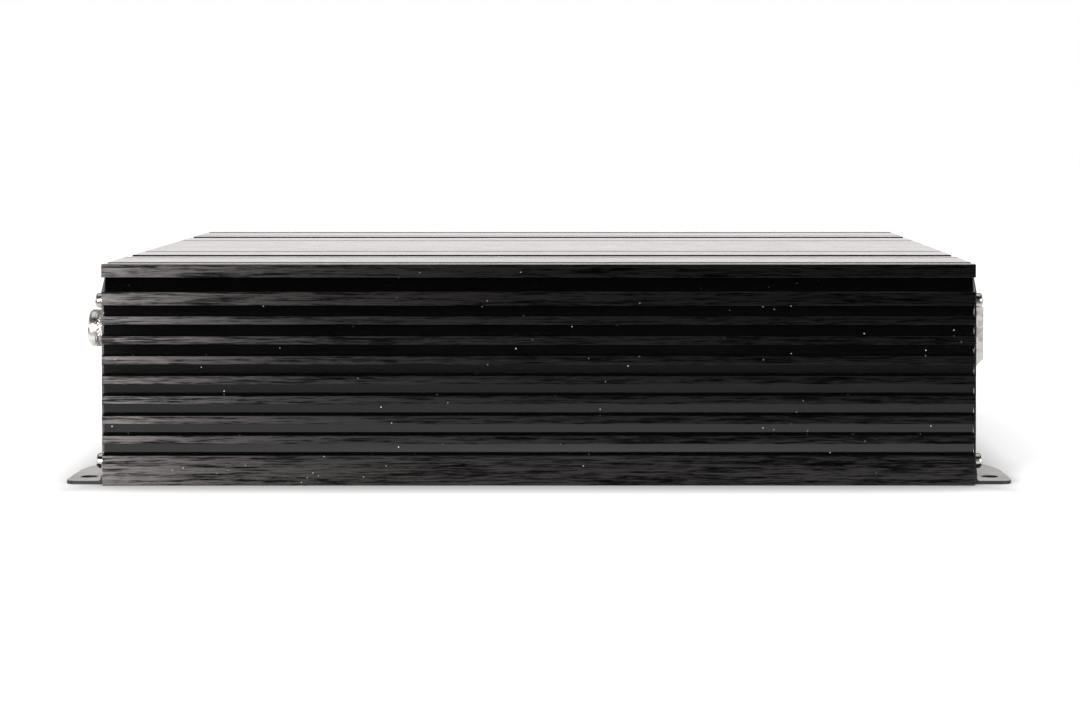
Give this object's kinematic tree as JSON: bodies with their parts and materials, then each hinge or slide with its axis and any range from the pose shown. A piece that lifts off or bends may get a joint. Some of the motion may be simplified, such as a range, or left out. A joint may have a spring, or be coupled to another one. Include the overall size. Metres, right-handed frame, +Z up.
{
  "type": "car amplifier",
  "caption": "Fanless car audio amplifier in a finned black extrusion, with folded end plates, mounting feet, knobs, sockets, clamp terminals and fuses.",
  "frame": {"origin": "centre of the footprint on the surface that the feet stand on", "axes": "+X along the fins from the input end to the power end, -Y towards the finned front, +Z up"},
  "size_m": [0.2726, 0.21, 0.0635],
  "materials": {
    "anodised_black": "brushed black anodised faces with smooth recesses",
    "cover_black": "satin black powder coat",
    "plate_black": "smooth semi-gloss black paint",
    "nickel_screw": "nickel plated",
    "circuit_board": "green solder mask",
    "black_plastic": "moulded",
    "ferrite": "matt sintered",
    "copper_wire": "enamelled copper",
    "iron_powder": "painted ring",
    "capacitor_sleeve": "shrink sleeve",
    "transistor_mould": "moulded epoxy",
    "heat_pad": "soft sheet",
    "bar_aluminium": "mill finish",
    "switch_steel": "tin plated",
    "shaft_metal": "turned",
    "knob_nickel": "nickel plated, knurled",
    "contact_nickel": "nickel plated brass",
    "socket_white": "moulded",
    "lens_blue": "clear tinted",
    "lens_red": "clear tinted",
    "clamp_steel": "zinc plated",
    "fuse_green": "tinted plastic"
  },
  "bodies": {
    "amplifier": {"heatsink_shell": "anodised_black", "bottom_cover": "cover_black", "bottom_cover_screws": "nickel_screw", "input_end_plate": "plate_black", "power_end_plate": "plate_black", "end_plate_screws": "nickel_screw", "main_board": "circuit_board", "main_board_screws": "nickel_screw", "preamp_board": "circuit_board", "board_link": "black_plastic", "transformer_core": "ferrite", "transformer_winding": "copper_wire", "output_choke_core": "iron_powder", "output_choke_winding": "copper_wire", "bulk_capacitors": "capacitor_sleeve", "input_capacitors": "capacitor_sleeve", "supply_transistors": "transistor_mould", "output_transistors": "transistor_mould", "insulator_pads": "heat_pad", "clamp_bars": "bar_aluminium", "clamp_bar_screws": "nickel_screw", "pot_bodies": "switch_steel", "phase_switch_body": "switch_steel", "rca_bodies": "black_plastic", "rca_sleeves": "contact_nickel", "rca_insulators": "socket_white", "rca_contacts": "contact_nickel", "remote_port": "black_plastic", "power_led": "lens_blue", "protect_led": "lens_red", "terminal_carrier": "black_plastic", "ground_terminal": "contact_nickel", "remote_terminal": "contact_nickel", "battery_terminal": "contact_nickel", "speaker_terminals": "contact_nickel", "fuse_sockets": "black_plastic"},
    "gain_control": {"gain_knob": "knob_nickel", "gain_shaft": "shaft_metal"},
    "lowpass_control": {"lowpass_knob": "knob_nickel", "lowpass_shaft": "shaft_metal"},
    "subsonic_control": {"subsonic_knob": "knob_nickel", "subsonic_shaft": "shaft_metal"},
    "bass_boost_control": {"bass_boost_knob": "knob_nickel", "bass_boost_shaft": "shaft_metal"},
    "phase_switch": {"phase_switch_slider": "black_plastic"},
    "ground_clamp": {"ground_pad": "clamp_steel"},
    "ground_clamp_screw": {"ground_screw": "clamp_steel"},
    "remote_clamp": {"remote_pad": "clamp_steel"},
    "remote_clamp_screw": {"remote_screw": "clamp_steel"},
    "battery_clamp": {"battery_pad": "clamp_steel"},
    "battery_clamp_screw": {"battery_screw": "clamp_steel"},
    "speaker_minus_clamp": {"speaker_minus_pad": "clamp_steel"},
    "speaker_minus_clamp_screw": {"speaker_minus_screw": "clamp_steel"},
    "speaker_plus_clamp": {"speaker_plus_pad": "clamp_steel"},
    "speaker_plus_clamp_screw": {"speaker_plus_screw": "clamp_steel"},
    "fuse_front": {"fuse_front": "fuse_green"},
    "fuse_middle": {"fuse_middle": "fuse_green"},
    "fuse_rear": {"fuse_rear": "fuse_green"}
  },
  "joints": [
    {"name": "gain_turn", "type": "hinge", "parent": "amplifier", "child": "gain_control", "pos_m": [-0.126, -0.085, 0.0437], "axis": [-1, 0, 0], "range_deg": [-140, 140]},
    {"name": "lowpass_turn", "type": "hinge", "parent": "amplifier", "child": "lowpass_control", "pos_m": [-0.126, -0.063, 0.0437], "axis": [-1, 0, 0], "range_deg": [-140, 140]},
    {"name": "subsonic_turn", "type": "hinge", "parent": "amplifier", "child": "subsonic_control", "pos_m": [-0.126, -0.041, 0.0437], "axis": [-1, 0, 0], "range_deg": [-140, 140]},
    {"name": "bass_boost_turn", "type": "hinge", "parent": "amplifier", "child": "bass_boost_control", "pos_m": [-0.126, -0.019, 0.0437], "axis": [-1, 0, 0], "range_deg": [-140, 140]},
    {"name": "phase_slide", "type": "slide", "parent": "amplifier", "child": "phase_switch", "axis": [0, 1, 0], "range_m": [0, 0.003]},
    {"name": "ground_pad_slide", "type": "slide", "parent": "amplifier", "child": "ground_clamp", "axis": [0, 0, 1], "range_m": [-0.0021, 0]},
    {"name": "ground_screw_turn", "type": "hinge", "parent": "ground_clamp", "child": "ground_clamp_screw", "pos_m": [0.1289, -0.071, 0.04], "axis": [0, 0, 1], "range_deg": [-1080, 0]},
    {"name": "remote_pad_slide", "type": "slide", "parent": "amplifier", "child": "remote_clamp", "axis": [0, 0, 1], "range_m": [-0.0015, 0]},
    {"name": "remote_screw_turn", "type": "hinge", "parent": "remote_clamp", "child": "remote_clamp_screw", "pos_m": [0.1289, -0.054, 0.04], "axis": [0, 0, 1], "range_deg": [-1080, 0]},
    {"name": "battery_pad_slide", "type": "slide", "parent": "amplifier", "child": "battery_clamp", "axis": [0, 0, 1], "range_m": [-0.0021, 0]},
    {"name": "battery_screw_turn", "type": "hinge", "parent": "battery_clamp", "child": "battery_clamp_screw", "pos_m": [0.1289, -0.037, 0.04], "axis": [0, 0, 1], "range_deg": [-1080, 0]},
    {"name": "speaker_minus_pad_slide", "type": "slide", "parent": "amplifier", "child": "speaker_minus_clamp", "axis": [0, 0, 1], "range_m": [-0.0015, 0]},
    {"name": "speaker_minus_screw_turn", "type": "hinge", "parent": "speaker_minus_clamp", "child": "speaker_minus_clamp_screw", "pos_m": [0.1289, 0.036, 0.04], "axis": [0, 0, 1], "range_deg": [-1080, 0]},
    {"name": "speaker_plus_pad_slide", "type": "slide", "parent": "amplifier", "child": "speaker_plus_clamp", "axis": [0, 0, 1], "range_m": [-0.0015, 0]},
    {"name": "speaker_plus_screw_turn", "type": "hinge", "parent": "speaker_plus_clamp", "child": "speaker_plus_clamp_screw", "pos_m": [0.1289, 0.053, 0.04], "axis": [0, 0, 1], "range_deg": [-1080, 0]},
    {"name": "fuse_front_pull", "type": "slide", "parent": "amplifier", "child": "fuse_front", "axis": [1, 0, 0], "range_m": [0, 0.02]},
    {"name": "fuse_middle_pull", "type": "slide", "parent": "amplifier", "child": "fuse_middle", "axis": [1, 0, 0], "range_m": [0, 0.02]},
    {"name": "fuse_rear_pull", "type": "slide", "parent": "amplifier", "child": "fuse_rear", "axis": [1, 0, 0], "range_m": [0, 0.02]}
  ],
  "couplings": [
    {"joint": "ground_screw_turn", "follows": "ground_pad_slide", "rad_per_m": 8975.9},
    {"joint": "remote_screw_turn", "follows": "remote_pad_slide", "rad_per_m": 12566},
    {"joint": "battery_screw_turn", "follows": "battery_pad_slide", "rad_per_m": 8975.9},
    {"joint": "speaker_minus_screw_turn", "follows": "speaker_minus_pad_slide", "rad_per_m": 12566},
    {"joint": "speaker_plus_screw_turn", "follows": "speaker_plus_pad_slide", "rad_per_m": 12566}
  ]
}
